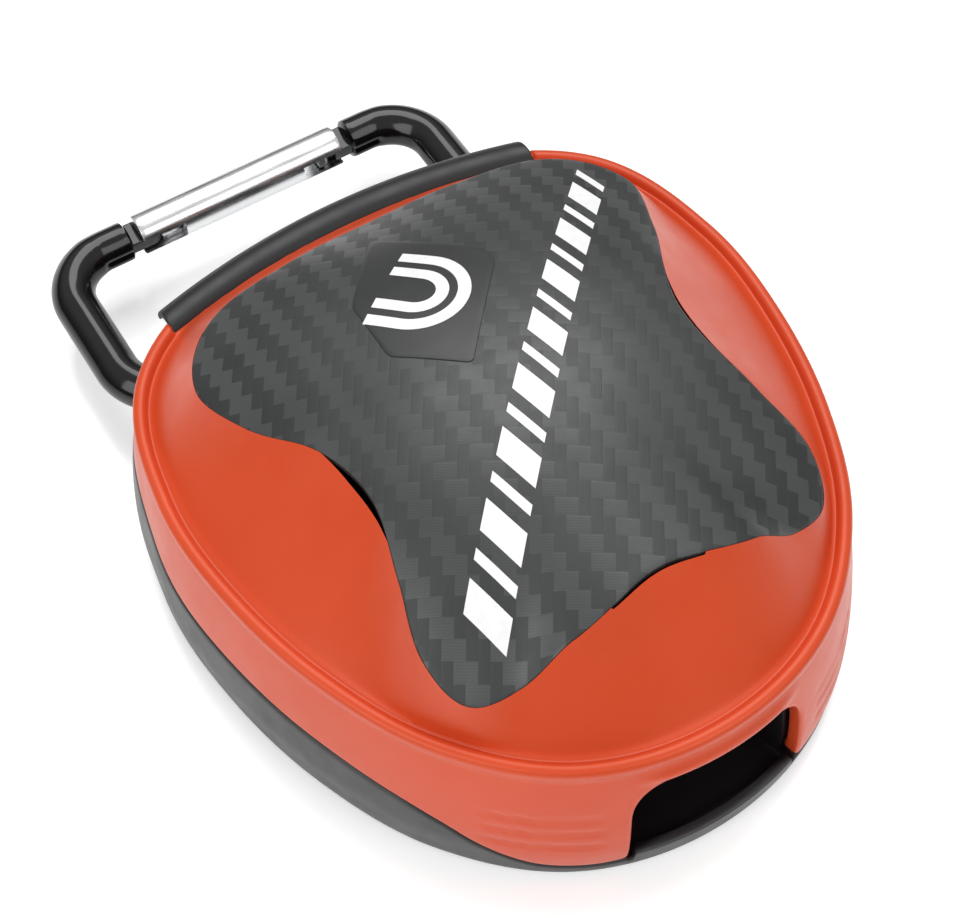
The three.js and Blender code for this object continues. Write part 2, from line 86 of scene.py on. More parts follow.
# ---- dimensions that differ a little from the CAD model's, or that it doesn't have ----
DOME_CURVE = 0.007       # rounds the dome more evenly than the CAD's, with the same top and edge
VENTS = [(68, 100, 0.45, 0.8), (-100, -68, 0.8, 0.8), (-13, 11, 0.35, 0.12)]   # start, end, width, roundness
NOTCH_TOP = 20.4
RECESS_ANGLE = 14.5
RECESS_LIP_Y = -48.0
RECESS_HALF_WIDTH = 13.0
HINGE_CLEAR_Z = 24.45    # the lid's rear edge stays above the base's knuckles
HINGE_CHANNEL = 4.0      # radius of the hollow in the lid over the hinge
HINGE_CHANNEL_TOP = 24.6
KNUCKLES = {"span": 44.0, "count": 5, "gap": 0.4, "lid_radius": 1.7, "base_radius": 1.65}
COVER = {
    "half_length": 29.2, "y": 47.3, "z": 22.6, "bow": 4.2, "radius": 3.3, "thickness": 0.9,
    "from": 10, "to": 138,     # the arc runs on into the lid
}
BADGE_OUTLINE = [(-2.7, 32.2, 0.9), (8.3, 18.1, 3.2), (-4.6, 3.2, 0.9), (-12.4, 10.5, 0.9), (-11.8, 21, 0.9)]


# ---- numbers ----
def smooth(value, start, end):
    """0 below start, 1 above end, and a smooth step between."""
    part = np.clip((np.asarray(value, float) - start) / (end - start), 0, 1)
    return part * part * (3 - 2 * part)


def blend(start, end, share):
    return start + (end - start) * share


def from_front(angle):
    return np.abs((np.asarray(angle, float) + 540) % 360 - 180)


def along(keys, angle):
    """A smooth curve through (angle, value) keys, mirrored about the front and the back."""
    turned = from_front(angle)
    keys = [(-keys[1][0], keys[1][1])] + list(keys) + [(360 - keys[-2][0], keys[-2][1])]
    at = np.array([key[0] for key in keys], float)
    value = np.array([key[1] for key in keys], float)
    index = np.clip(np.searchsorted(at, turned, side="left") - 1, 1, len(at) - 3)
    width = at[index + 1] - at[index]
    part = (turned - at[index]) / width
    start_slope = (value[index + 1] - value[index - 1]) / (at[index + 1] - at[index - 1]) * width
    end_slope = (value[index + 2] - value[index]) / (at[index + 2] - at[index]) * width
    square, cube = part ** 2, part ** 3
    return ((2 * cube - 3 * square + 1) * value[index] + (cube - 2 * square + part) * start_slope
            + (3 * square - 2 * cube) * value[index + 1] + (cube - square) * end_slope)


# ---- surfaces of the case ----
def wall_radius(angle, height):
    height = np.asarray(height, float)
    rise = np.clip((height - FLARE_HEIGHT) / (RIM_HEIGHT - FLARE_HEIGHT), 0, 1)
    tuck = 0.3 * np.clip(1 - height / FLARE_HEIGHT, 0, 1)
    return along(RIM_RADIUS, angle) + FLARE * (1 - rise ** 1.6) - tuck


def overlay_height(angle, share):
    share = np.asarray(share)
    fall = DOME_CURVE * along(OVERLAY_RADIUS, angle) ** 2
    rest = DOME_HEIGHT - fall - along(OVERLAY_EDGE_HEIGHT, angle)
    return DOME_HEIGHT - fall * share ** 2 - rest * share ** 4


def dome_height(x, y):
    """Height of the overlay's top over a point in plan."""
    angle = np.degrees(np.arctan2(x, -np.asarray(y, float)))
    return overlay_height(angle, np.hypot(x, y) / along(OVERLAY_RADIUS, angle))


def vent_width(angle):
    """How far each vent reaches out past the overlay's edge: a crescent, or a strip with square ends."""
    total = np.zeros_like(angle)
    signed = (angle + 180) % 360 - 180
    for start, end, width, roundness in VENTS:
        share = np.clip((signed - start) / (end - start), 0, 1)
        total += width * np.sin(np.pi * share) ** roundness
    return total


# ---- making meshes ----
def make_object(name, vertices, faces, material, body, sharp=35):
    mesh = bpy.data.meshes.new(name)
    mesh.from_pydata((np.asarray(vertices, float) * MM).tolist(), [], faces)
    mesh.validate()
    mesh.polygons.foreach_set("use_smooth", [True] * len(mesh.polygons))
    mesh.set_sharp_from_angle(angle=math.radians(sharp))
    mesh.materials.append(material)
    piece = bpy.data.objects.new(name, mesh)
    bpy.context.scene.collection.objects.link(piece)
    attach(piece, body)
    return piece


def grid_faces(rows, columns, closed=True, offset=0):
    """Quads of a grid of rows by columns; closed joins the last column to the first."""
    quads = []
    for row in range(rows - 1):
        for column in range(columns if closed else columns - 1):
            after = (column + 1) % columns
            here, below = offset + row * columns, offset + (row + 1) * columns
            quads.append((here + column, below + column, below + after, here + after))
    return quads


def polar_points(angle, radius, height):
    turn = np.radians(angle)
    return np.stack([radius * np.sin(turn), -radius * np.cos(turn), height * np.ones_like(turn)], axis=-1)


def capped_grid(rows):
    """Vertices and faces of a closed form: rows of points, each row a loop, with both ends filled."""
    count, columns = len(rows), len(rows[0])
    vertices = np.concatenate(rows)
    faces = grid_faces(count, columns)
    faces.append(tuple(range(columns)))
    faces.append(tuple(reversed(range((count - 1) * columns, count * columns))))
    return vertices, faces


def polar_solid(rows):
    """Like capped_grid, with the first and last rows drawn in to a point on the axis."""
    columns = len(rows[0])
    poles = [np.array([[0, 0, rows[0][0][2]]]), np.array([[0, 0, rows[-1][0][2]]])]
    vertices = np.concatenate([poles[0], *rows, poles[1]])
    faces = grid_faces(len(rows), columns, offset=1)
    last = 1 + (len(rows) - 1) * columns
    end = len(vertices) - 1
    for column in range(columns):
        after = (column + 1) % columns
        faces.append((0, 1 + column, 1 + after))
        faces.append((last + column, end, last + after))
    return vertices, faces


def rounded_corners(corners, spacing=0.1):
    """Points along a line of (x, y, radius) corners, with each corner rounded off."""
    points = []
    for index, (x, y, radius) in enumerate(corners):
        here = np.array([x, y], float)
        if radius == 0 or index in (0, len(corners) - 1):
            points.append([here])
            continue
        before = np.array(corners[index - 1][:2], float) - here
        after = np.array(corners[index + 1][:2], float) - here
        start = here + before / np.linalg.norm(before) * min(radius, np.linalg.norm(before) * 0.49)
        end = here + after / np.linalg.norm(after) * min(radius, np.linalg.norm(after) * 0.49)
        part = np.linspace(0, 1, 12)[:, None]
        points.append((1 - part) ** 2 * start + 2 * part * (1 - part) * here + part ** 2 * end)
    line = np.concatenate(points)
    length = distances(line)
    at = np.linspace(0, length[-1], int(length[-1] / spacing) + 1)
    return np.stack([np.interp(at, length, line[:, 0]), np.interp(at, length, line[:, 1])], axis=-1)


def distances(line):
    """How far along a line each of its points is."""
    return np.concatenate([[0], np.cumsum(np.linalg.norm(np.diff(line, axis=0), axis=1))])


def directions(line):
    """The unit direction of a line at each of its points."""
    tangent = np.gradient(line, axis=0)
    return tangent / np.linalg.norm(tangent, axis=1)[:, None]


def mirrored(half):
    """A closed run of (angle, value) points from half of it, 0 to 180 degrees."""
    other = half[-2:0:-1] * np.array([-1, 1])
    return np.concatenate([half, other])


# ---- the lid ----
DEGREE = 0.82          # length of a degree along the skirt
LID_COLUMNS = 421      # columns in half of the lid


def lid_edge():
    """The skirt's lower edge as angles and heights: the thumb notch, the parting line and the hinge gap."""
    turned = np.arange(20, 141, 2)
    gap = 0.3 + 0.6 * smooth(turned, 118, 135)
    bottom = along(PARTING_HEIGHT, turned) + gap
    corners = [(0, NOTCH_TOP, 0), (15.2, NOTCH_TOP, 7.0), (15.5, 3.3, 1.2)]
    corners += [(angle, height, 0) for angle, height in zip(turned, bottom)]
    corners += [(145.7, 17.6, 0.8), (146.3, 24.4, 0.8), (180, 24.4, 0)]
    scaled = [(angle * DEGREE, height, radius) for angle, height, radius in corners]
    line = rounded_corners(scaled, 0.05)
    chosen = line[np.linspace(0, len(line) - 1, LID_COLUMNS).round().astype(int)]
    return mirrored(chosen / np.array([DEGREE, 1]))


def around(values, reach):
    """Each value's mean with its neighbours on a closed run, weighted to a bell curve."""
    offsets = np.arange(-3 * reach, 3 * reach + 1)
    weights = np.exp(-0.5 * (offsets / reach) ** 2)
    weights /= weights.sum()
    return sum(weight * np.roll(values, -offset) for offset, weight in zip(offsets, weights))


def flank(angle, share):
    """Radius and height of the lid between the overlay's edge (0) and the groove inside the bead (1)."""
    inner = along(OVERLAY_RADIUS, angle) + 0.05 + vent_width(angle)
    edge = along(OVERLAY_RADIUS, angle) + 0.05
    outer = along(RIM_RADIUS, angle) - 1.75
    top = along(OVERLAY_EDGE_HEIGHT, angle) - 0.1
    bottom = RIM_HEIGHT - 0.78
    radius = blend(inner, outer, share)
    fall = (1 - np.clip((radius - edge) / (outer - edge), 0, 1)) ** FLANK_HOLLOW
    return radius, bottom + (top - bottom) * fall


def tucked(angle, radius, height, inside):
    """The back of the rim drawn in under the hinge cover, and hollowed above the hinge."""
    turn = np.radians(angle)
    x = radius * np.sin(turn)
    behind = smooth(np.abs(x), 29.35, 28.95) * (from_front(angle) > 120)
    centre = COVER["y"] - COVER["bow"] * (x / COVER["half_length"]) ** 2
    lip = (centre - (2.3 if inside else 1.8)) / np.maximum(-np.cos(turn), 0.5)
    near = np.minimum(radius, lip)
    if inside:
        reach = np.clip(centre + near * np.cos(turn), 0, HINGE_CHANNEL)
        channel = COVER["z"] + np.sqrt(HINGE_CHANNEL ** 2 - reach ** 2) - 10 * (reach > HINGE_CHANNEL - 0.01)
        level = np.maximum(height, np.minimum(channel, HINGE_CHANNEL_TOP))
    else:
        slope = 24.95 + 0.8 * np.maximum(0, lip - 0.35 - near)
        level = np.minimum(height, slope) - 0.1 * np.clip(1 - np.abs(height - slope) / 0.4, 0, 1) ** 2
        level = np.maximum(level, HINGE_CLEAR_Z + 0.05 * (height - REAR_PARTING))
    return blend(radius, near, behind), blend(height, level, behind)


BEAD = [(-1.5, -0.86), (-1.3, -0.84), (-1.15, -0.68), (-1.0, -0.42), (-0.8, -0.18), (-0.5, -0.03), (-0.2, 0),
        (0.15, -0.04), (0.45, -0.18), (0.68, -0.42), (0.82, -0.78), (0.84, -1.25), (0.74, -1.75)]
EDGE_ROUNDING = [(0.7, 0), (0.42, 0.03), (0.2, 0.12), (0.06, 0.3), (0, 0.6), (0, 1.6), (0.08, 1.95),
                 (0.3, 2.17), (0.7, 2.2)]


def lid_shell(material):
    edge = lid_edge()
    edge_angle = np.degrees(np.unwrap(np.radians(edge[:, 0])))
    edge_height = edge[:, 1]
    wave = edge_angle - np.linspace(0, 360, len(edge_angle), endpoint=False)
    top_angle = around(wave, 9) + np.linspace(0, 360, len(edge_angle), endpoint=False)
    rows, names = [], []

    def add(name, angle, radius, height, inside=False):
        names.append(name)
        rows.append(polar_points(angle, *tucked(angle, radius, height, inside)))

    overlay = along(OVERLAY_RADIUS, top_angle)
    vent = vent_width(top_angle)
    seat = OVERLAY_THICKNESS + 0.12
    for share in (0.05, 0.3, 0.6, 0.82):
        add("roof", top_angle, overlay * share, overlay_height(top_angle, share) - seat)
    hidden = overlay - 0.4 - 2.2 * smooth(vent, 0, 0.3)
    add("hidden", top_angle, hidden, overlay_height(top_angle, hidden / overlay) - seat)
    ledge = overlay + 0.03
    add("ledge", top_angle, ledge, along(OVERLAY_EDGE_HEIGHT, top_angle) - seat)
    for share in np.linspace(0, 1, 30) ** 1.25:
        radius, height = flank(top_angle, share)
        add("lip" if share == 0 else "flank", top_angle, radius, height)
    rim = along(RIM_RADIUS, top_angle)
    for out, up in BEAD:
        add("bead", top_angle, rim + out, RIM_HEIGHT + up)

    # The skirt runs down to a line a little above its lower edge, and the edge is rounded off from there.
    slope = np.stack([np.gradient(edge_angle * DEGREE), np.gradient(edge_height)], axis=-1)
    slope /= np.linalg.norm(slope, axis=1)[:, None]
    start = RIM_HEIGHT - 2.3

    def offset(distance):
        return edge_angle - slope[:, 1] * distance / DEGREE, edge_height + slope[:, 0] * distance

    near_angle, near_height = offset(EDGE_ROUNDING[0][0])
    for share in np.linspace(0, 1, 26)[:-1]:
        angle = blend(top_angle, near_angle, share)
        height = blend(start, near_height, share)
        swell = notch_welt(angle, height)
        add("skirt", angle, wall_radius(angle, height) - skirt_grip(angle, height) + swell, height)
    for distance, depth in EDGE_ROUNDING:
        angle, height = offset(distance)
        add("edge", angle, wall_radius(angle, height) - depth, height, depth > 1)
    for share in np.linspace(1, 0, 8)[1:]:
        angle = blend(top_angle, near_angle, share)
        height = blend(start - 1.5, near_height, share)
        add("inside", angle, wall_radius(angle, height) - SKIRT_THICKNESS, height, True)
    for share in np.linspace(0.97, 0, 12):
        radius, height = flank(top_angle, share)
        add("inner lip" if share == 0 else "ceiling", top_angle, radius, height - 2.0, True)
    add("inner hidden", top_angle, hidden, overlay_height(top_angle, hidden / overlay) - seat - 1.8)
    for share in (0.7, 0.4, 0.1):
        add("under", top_angle, overlay * share, overlay_height(top_angle, share) - seat - 1.8)

    vertices, faces = polar_solid(rows)
    faces = cut_windows(faces, names, len(top_angle), vent > 0.03)
    piece = make_object("lid_shell_moulding", vertices, faces, material, "lid", 40)
    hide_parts("lid_shell")
    return piece


def skirt_grip(angle, height):
    """Depth of the three shallow grip lines either side of the thumb notch."""
    turned = from_front(angle)
    span = smooth(turned, 18.5, 21) * smooth(turned, 40, 35)
    lines = sum(np.exp(-((height - level) / 0.42) ** 2) for level in (9.4, 12.4, 15.4))
    return 0.28 * span * lines


def notch_welt(angle, height):
    """A soft swelling just above the thumb notch."""
    return 0.5 * np.exp(-((height - NOTCH_TOP - 1.4) / 1.0) ** 2) * smooth(from_front(angle), 16, 9)


def cut_windows(faces, names, columns, open_columns):
    """Removes the faces over each vent and closes its edges through the lid's thickness."""
    row = {name: names.index(name) for name in ("hidden", "ledge", "lip", "inner lip", "inner hidden")}

    def vertex(name, column):
        return 1 + row[name] * columns + column % columns

    both_open = open_columns & np.roll(open_columns, -1)
    window = set(np.flatnonzero(both_open).tolist())
    removed = {row["hidden"], row["ledge"], row["inner lip"]}
    kept = []
    for face in faces:
        at = (face[0] - 1) // columns
        column = (face[0] - 1) % columns
        if len(face) == 4 and at in removed and column in window:
            continue
        kept.append(face)
    for column in sorted(window):
        after = column + 1
        kept.append((vertex("lip", column), vertex("lip", after), vertex("inner lip", after),
                     vertex("inner lip", column)))
        kept.append((vertex("hidden", after), vertex("hidden", column), vertex("inner hidden", column),
                     vertex("inner hidden", after)))
        order = ("hidden", "ledge", "lip", "inner lip", "inner hidden")
        if (column - 1) % columns not in window:
            kept.append(tuple(vertex(name, column) for name in order))
        if after % columns not in window:
            kept.append(tuple(vertex(name, after) for name in reversed(order)))
    return kept


# ---- the overlay, its badge and its printed marks ----
def grip_overlay(material):
    angle = np.linspace(0, 360, 540, endpoint=False)
    radius = along(OVERLAY_RADIUS, angle)
    rows = []
    for share in np.linspace(0.02, 1, 40):
        reach = radius * share - 0.3 * (share == 1)
        rows.append(polar_points(angle, reach, overlay_height(angle, reach / radius)))
    for inset, drop in ((0.12, 0.02), (0.05, 0.06), (0.01, 0.14), (0, 0.3), (0, 1.1), (0.1, 1.3), (0.4, 1.4)):
        reach = radius - inset
        rows.append(polar_points(angle, reach, overlay_height(angle, reach / radius) - drop))
    for share in (0.9, 0.6, 0.3, 0.04):
        rows.append(polar_points(angle, radius * share, overlay_height(angle, share) - OVERLAY_THICKNESS))
    vertices, faces = polar_solid(rows)
    piece = make_object("grip_overlay_panel", vertices, faces, material, "lid", 50)
    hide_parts("grip_overlay")
    return piece


def slab(name, outline_rows, lift, depth, material):
    """A thin plate that follows the dome: rows of plan points, from its middle out or from end to end."""
    rows = np.asarray(outline_rows, float)
    count, columns = rows.shape[:2]
    height = dome_height(rows[..., 0], rows[..., 1])
    top = np.dstack([rows, height + lift]).reshape(-1, 3)
    low = np.dstack([rows, height - depth]).reshape(-1, 3)
    faces = grid_faces(count, columns, closed=False)
    under = [tuple(index + len(top) for index in reversed(face)) for face in faces]
    rim = list(range(columns))
    rim += [row * columns + columns - 1 for row in range(1, count)]
    rim += [(count - 1) * columns + column for column in range(columns - 2, -1, -1)]
    rim += [row * columns for row in range(count - 2, 0, -1)]
    sides = []
    for index, here in enumerate(rim):
        after = rim[(index + 1) % len(rim)]
        sides.append((here, after, after + len(top), here + len(top)))
    return make_object(name, np.concatenate([top, low]), faces + under + sides, material, "lid", 40)


def badge_plate(material):
    outline = np.array(BADGE_OUTLINE)
    middle = outline[:, :2].mean(axis=0)
    start = (outline[0, :2] + outline[-1, :2]) / 2
    loop = rounded_corners([(*start, 0), *BADGE_OUTLINE, (*start, 0)], 0.5)[:-1]
    rows = []
    for share in np.linspace(0.03, 1, 14):
        plan = middle + (loop - middle) * (share - 0.012 * (share == 1))
        rows.append(np.column_stack([plan, dome_height(plan[:, 0], plan[:, 1]) + 0.16]))
    for share, lift in ((0.997, 0.13), (1.0, 0.05), (1.0, -0.25), (0.5, -0.25), (0.05, -0.25)):
        plan = middle + (loop - middle) * share
        rows.append(np.column_stack([plan, dome_height(plan[:, 0], plan[:, 1]) + lift]))
    vertices, faces = capped_grid(rows)
    piece = make_object("badge_patch", vertices, faces, material, "lid", 30)
    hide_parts("badge_plate")
    return piece


def ribbon(points, half_width):
    """Rows of plan points either side of a line."""
    line = np.asarray(points, float)
    tangent = directions(line)
    normal = np.stack([-tangent[:, 1], tangent[:, 0]], axis=-1)
    shares = np.linspace(-1, 1, 5)
    return np.stack([line + normal * half_width * share for share in shares], axis=1)


def badge_emblem(material):
    """Two nested arches, the plan of a mouthguard."""
    middle = np.array([-4.0, 17.9])
    turn = np.radians(38)
    along_axis = np.array([math.cos(turn), math.sin(turn)])
    across = np.array([-math.sin(turn), math.cos(turn)])
    for index, (half, depth, leg) in enumerate(((6.0, 6.2, 4.6), (3.1, 3.4, 4.6))):
        sweep = np.linspace(-90, 90, 40)
        arch = [(half * math.sin(math.radians(a)), -depth * math.cos(math.radians(a))) for a in sweep]
        line = [(-half, leg), (-half, leg / 2), *arch, (half, leg / 2), (half, leg)]
        line = rounded_corners([(x, y, 0) for x, y in line], 0.4)
        plan = middle + line[:, :1] * along_axis + line[:, 1:] * across
        slab(f"badge_emblem_{index + 1}", ribbon(plan, 0.85), 0.2, 0.2, material)


def diagonal_marks(material):
    """A row of plain slanted bars across the dome."""
    start, end = np.array([-20.8, -25.4]), np.array([29.8, 27.7])
    direction = (end - start) / np.linalg.norm(end - start)
    across = np.array([-direction[1], direction[0]])
    length = np.linalg.norm(end - start)
    widths = [3.2, 1.1] * 8
    gap, slant = 1.7, 1.6
    scale = length / sum(width + gap for width in widths)
    columns = np.linspace(-1, 1, 13)
    at = 0
    for index, width in enumerate(widths):
        half = blend(2.9, 2.1, at / length)
        rows = []
        for side in np.linspace(0, width * scale, 6):
            middle = start + direction * (at + side)
            rows.append([middle + across * half * share + direction * slant * share for share in columns])
        slab(f"overlay_mark_{index + 1:02d}", rows, 0.07, 0.12, material)
        at += (width + gap) * scale


# ---- the base ----
def base_columns():
    """Angles round the base, closer together where its outline steps."""
    base = np.arange(0, 181, 1.0)
    steps = np.concatenate([middle + np.arange(-1, 1, 0.1) for middle in (RECESS_ANGLE, 140.5)])
    half = np.unique(np.concatenate([base, steps]).round(3))
    return np.concatenate([half, -half[-2:0:-1]])


def base_shell(material):
    angle = base_columns()
    turned = from_front(angle)
    behind = np.where(turned > 95, -np.cos(np.radians(angle)), 0.05)
    rear_plane = REAR_WALL_Y / np.maximum(behind, 0.05)
    inner_plane = (REAR_WALL_Y - 2.2) / np.maximum(behind, 0.05)
    recess = smooth(turned, RECESS_ANGLE + 0.25, RECESS_ANGLE - 0.25)
    parting = blend(along(PARTING_HEIGHT, angle), RECESS_LEDGE, recess)
    rise = smooth(turned, 95, 86)
    side = smooth(turned, 105, 96)
    top = blend(parting, UPSTAND_HEIGHT, rise)
    cut = rear_plane < wall_radius(angle, 10)
    upper_start = np.where(cut, SHELF_BOTTOM, np.maximum(parting - 1.0, 1.4))
    front_recess = RECESS_BACK / np.maximum(np.cos(np.radians(angle)), 0.2)
    step = blend(2.5 * side, wall_radius(angle, 8) - front_recess, recess)
    inner_step = np.maximum(step + UPSTAND_THICKNESS, 2.2)
    rows = []

    def add(radius, height):
        rows.append(polar_points(angle, radius, height))

    def low(height, inset=0.0):
        return np.minimum(wall_radius(angle, height), rear_plane) - inset

    for share in (0.3, 0.7, 0.96):
        add(low(0, 1.6) * share, 0.0)
    for inset, height in ((1.4, 0), (0.8, 0.06), (0.35, 0.3), (0.08, 0.8)):
        add(low(height, inset), height)
    for share in np.linspace(0, 1, 10):
        height = blend(1.4, upper_start, share)
        add(low(height), height)
    add(wall_radius(angle, upper_start + 0.02), upper_start + 0.02)
    add(wall_radius(angle, parting - 0.4), parting - 0.4)
    for inset, drop in ((0.05, 0.2), (0.16, 0.06), (0.4, 0)):
        add(wall_radius(angle, parting) - inset, parting - drop)
    lip = blend(0.42, 1.35, recess)
    for inset, drop in ((0, 0), (0.12, 0.08), (0.2, 0.35), (0.24, 2.0)):
        add(wall_radius(angle, parting) - lip - inset, parting - drop * recess)
    foot = parting - 2.0 * recess
    add(wall_radius(angle, parting) - np.maximum(step, 0.7), foot)
    for share in np.linspace(0.06, 0.94, 8):
        height = blend(foot, top, share)
        add(wall_radius(angle, height) - np.maximum(step, 0.7), height)
    for inset, drop in ((0.02, 0.3), (0.15, 0.08), (0.4, 0)):
        add(wall_radius(angle, top) - np.maximum(step, 0.7) - inset * rise, top - drop * rise)
    inner_top = np.minimum(wall_radius(angle, top) - inner_step, inner_plane)
    add(inner_top + 0.2, top)
    add(inner_top, top - 0.2)
    floor = FLOOR_THICKNESS
    for share in np.linspace(0.1, 0.9, 8):
        height = blend(top, floor + 1.5, share)
        add(np.minimum(wall_radius(angle, height) - inner_step, inner_plane), height)
    for inset, height in ((0.02, floor + 1.5), (0.2, floor + 0.8), (0.7, floor + 0.2), (1.6, floor)):
        add(np.minimum(wall_radius(angle, height) - inner_step, inner_plane) - inset, height)
    for share in (0.6, 0.25):
        add(inner_top * share, floor)
    vertices, faces = polar_solid(rows)
    faces = [tuple(reversed(face)) for face in faces]
    piece = make_object("base_moulding", vertices, faces, material, "root", 40)
    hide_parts("base_shell")
    return piece


def extruded_profile(name, outlines, low_x, high_x, material, body, bevel=0.35):
    """Closed outlines in Y and Z drawn along X with rounded edges; a second outline is a hole."""
    curve = bpy.data.curves.new(name + "_outline", "CURVE")
    curve.dimensions = "2D"
    curve.fill_mode = "BOTH"
    curve.extrude = ((high_x - low_x) / 2 - bevel) * MM
    curve.bevel_depth = bevel * MM
    curve.bevel_resolution = 3
    curve.offset = -bevel * MM
    for outline in outlines:
        spline = curve.splines.new("POLY")
        spline.points.add(len(outline) - 1)
        for point, (y, z) in zip(spline.points, outline):
            point.co = (y * MM, z * MM, 0, 1)
        spline.use_cyclic_u = True
    drawn = bpy.data.objects.new(name + "_outline", curve)
    bpy.context.scene.collection.objects.link(drawn)
    evaluated = drawn.evaluated_get(bpy.context.evaluated_depsgraph_get())
    flat = bpy.data.meshes.new_from_object(evaluated)
    points = np.array([vertex.co[:] for vertex in flat.vertices]) / MM
    faces = [tuple(polygon.vertices) for polygon in flat.polygons]
    bpy.data.objects.remove(drawn)
    bpy.data.meshes.remove(flat)
    middle = (low_x + high_x) / 2
    turned = np.column_stack([points[:, 2] + middle, points[:, 0], points[:, 1]])
    return make_object(name, turned, faces, material, body, 30)


def arc(y, z, radius, start, end, count=24):
    sweep = np.radians(np.linspace(start, end, count))
    return [(y + radius * math.cos(turn), z + radius * math.sin(turn)) for turn in sweep]


def carabiner_lug(material):
    y, z = CARABINER["spine"], CARABINER["z"]
    root_y, root_z = REAR_WALL_Y - 0.8, SHELF_BOTTOM + 0.6    # sunk into the rear wall and the shelf
    outline = arc(y, z, LUG_RADIUS, -90, 20)
    outline += [(y + 5.0, root_z), (root_y, root_z), (root_y, z - LUG_RADIUS)]
    hole = arc(y, z, LUG_BORE, 360, 10, 40)
    extruded_profile("carabiner_lug", [outline, hole], -LUG_HALF_WIDTH, LUG_HALF_WIDTH, material, "root",
                     0.6)


def hinge_knuckles(base_material, lid_material):
    """Five knuckles in a row on the hinge's axis: the base's three, and the lid's two between them."""
    width = KNUCKLES["span"] / KNUCKLES["count"]
    for index in range(KNUCKLES["count"]):
        low_x = -KNUCKLES["span"] / 2 + index * width + KNUCKLES["gap"] / 2
        high_x = low_x + width - KNUCKLES["gap"]
        if index % 2:
            outline = arc(HINGE_Y, HINGE_Z, KNUCKLES["lid_radius"], -130, 90)
            outline += [(HINGE_Y - 1.3, 25.1), (HINGE_Y - 3.2, 26.5), (HINGE_Y - 3.2, 22.1)]
            extruded_profile(f"lid_knuckle_{index}", [outline], low_x, high_x, lid_material, "lid",
                             0.2)
        else:
            outline = arc(HINGE_Y, HINGE_Z, KNUCKLES["base_radius"], -110, 180)
            outline += [(HINGE_Y - 2.2, REAR_PARTING - 0.5), (HINGE_Y - 0.7, REAR_PARTING - 0.5)]
            extruded_profile(f"base_knuckle_{index}", [outline], low_x, high_x, base_material, "root",
                             0.2)


def hinge_cover(material):
    """A bowed channel of C section over the back of the rim."""
    y, z, radius, thick = COVER["y"], COVER["z"], COVER["radius"], COVER["thickness"]
    start, end = COVER["from"], COVER["to"]
    middle = radius - thick / 2
    rounding = 0.25
    corner = math.degrees(rounding / middle)
    bends = np.radians(np.linspace(0, 90, 5))

    def edge(turn, side, face, inward):
        """The rounded edge at one end of the arc, on its outer or inner face."""
        return turn - side * corner * (1 - math.sin(inward)), face(rounding * (1 - math.cos(inward)))

    def outer(depth):
        return radius - depth

    def inner(depth):
        return radius - thick + depth

    section = [(turn, radius) for turn in np.linspace(start + corner, end - corner, 28)]
    section += [edge(end, 1, outer, bend) for bend in bends]
    section += [edge(end, 1, inner, bend) for bend in bends[::-1]]
    section += [(turn, radius - thick) for turn in np.linspace(end - corner, start + corner, 20)]
    section += [edge(start, -1, inner, bend) for bend in bends]
    section += [edge(start, -1, outer, bend) for bend in bends[::-1]]
    section = np.array(section)
    section[:, 0] = np.radians(section[:, 0])
    length = COVER["half_length"]
    near_end = np.array([0, 0.06, 0.2])
    stations = np.concatenate([near_end - length, np.linspace(0.5 - length, length - 0.5, 60),
                               length - near_end[::-1]])
    shrink = np.ones(len(stations))
    shrink[[0, -1]] = 0.6
    shrink[[1, -2]] = 0.85
    shrink[[2, -3]] = 0.97
    rows = []
    for x, share in zip(stations, shrink):
        reach = middle + (section[:, 1] - middle) * share
        centre = y - COVER["bow"] * (x / length) ** 2
        rows.append(np.column_stack([np.full(len(section), x), centre + reach * np.cos(section[:, 0]),
                                     z + reach * np.sin(section[:, 0])]))
    vertices, faces = capped_grid(rows)
    piece = make_object("hinge_cover_strip", vertices, faces, material, "lid", 50)
    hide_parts("hinge_cover")
    return piece


# ---- the carabiner ----
def carabiner_frame(material):
    left, right, spine, gate_y = (CARABINER[key] for key in ("left", "right", "spine", "gate"))
    z, rod, corner = CARABINER["z"], CARABINER["rod"], CARABINER["corner"]
    bends = arc(left + corner, gate_y - corner, corner, 90, 180)
    bends += arc(left + corner, spine + corner, corner, 180, 270)
    bends += arc(right - corner, spine + corner, corner, -90, 0)
    bends += arc(right - corner, gate_y - corner, corner, 0, 90)
    plan = [(FRAME_ENDS[0], gate_y)] + bends + [(FRAME_ENDS[1], gate_y)]
    route = rounded_corners([(x, y, 0) for x, y in plan], 0.4)
    tangent = directions(route)
    outward = np.stack([tangent[:, 1], -tangent[:, 0]], axis=-1)
    length = distances(route)
    from_end = np.minimum(length, length[-1] - length)
    turn = np.radians(np.linspace(0, 360, 64, endpoint=False))
    facets = 1 - 0.035 * np.abs(np.sin(2 * turn)) ** 3
    groove_shape = 0.55 * np.exp(-(np.sin(turn) / 0.16) ** 2)
    end_rounding = 0.7
    rows = []
    for index, (x, y) in enumerate(route):
        near = float(smooth(from_end[index], 6.5, 4.5))
        part = min(1.0, from_end[index] / end_rounding)
        cap = end_rounding * (math.sqrt(max(0.0, 1 - (1 - part) ** 2)) - 1)
        reach = (rod + cap) * facets - near * (groove_shape + 0.12)
        across = np.outer(np.cos(turn) * reach, outward[index])
        rows.append(np.column_stack([x + across[:, 0], y + across[:, 1], z + reach * np.sin(turn)]))
    vertices, faces = capped_grid(rows)
    piece = make_object("carabiner_body", vertices, faces, material, "carabiner", 40)
    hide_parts("carabiner_frame")
    return piece


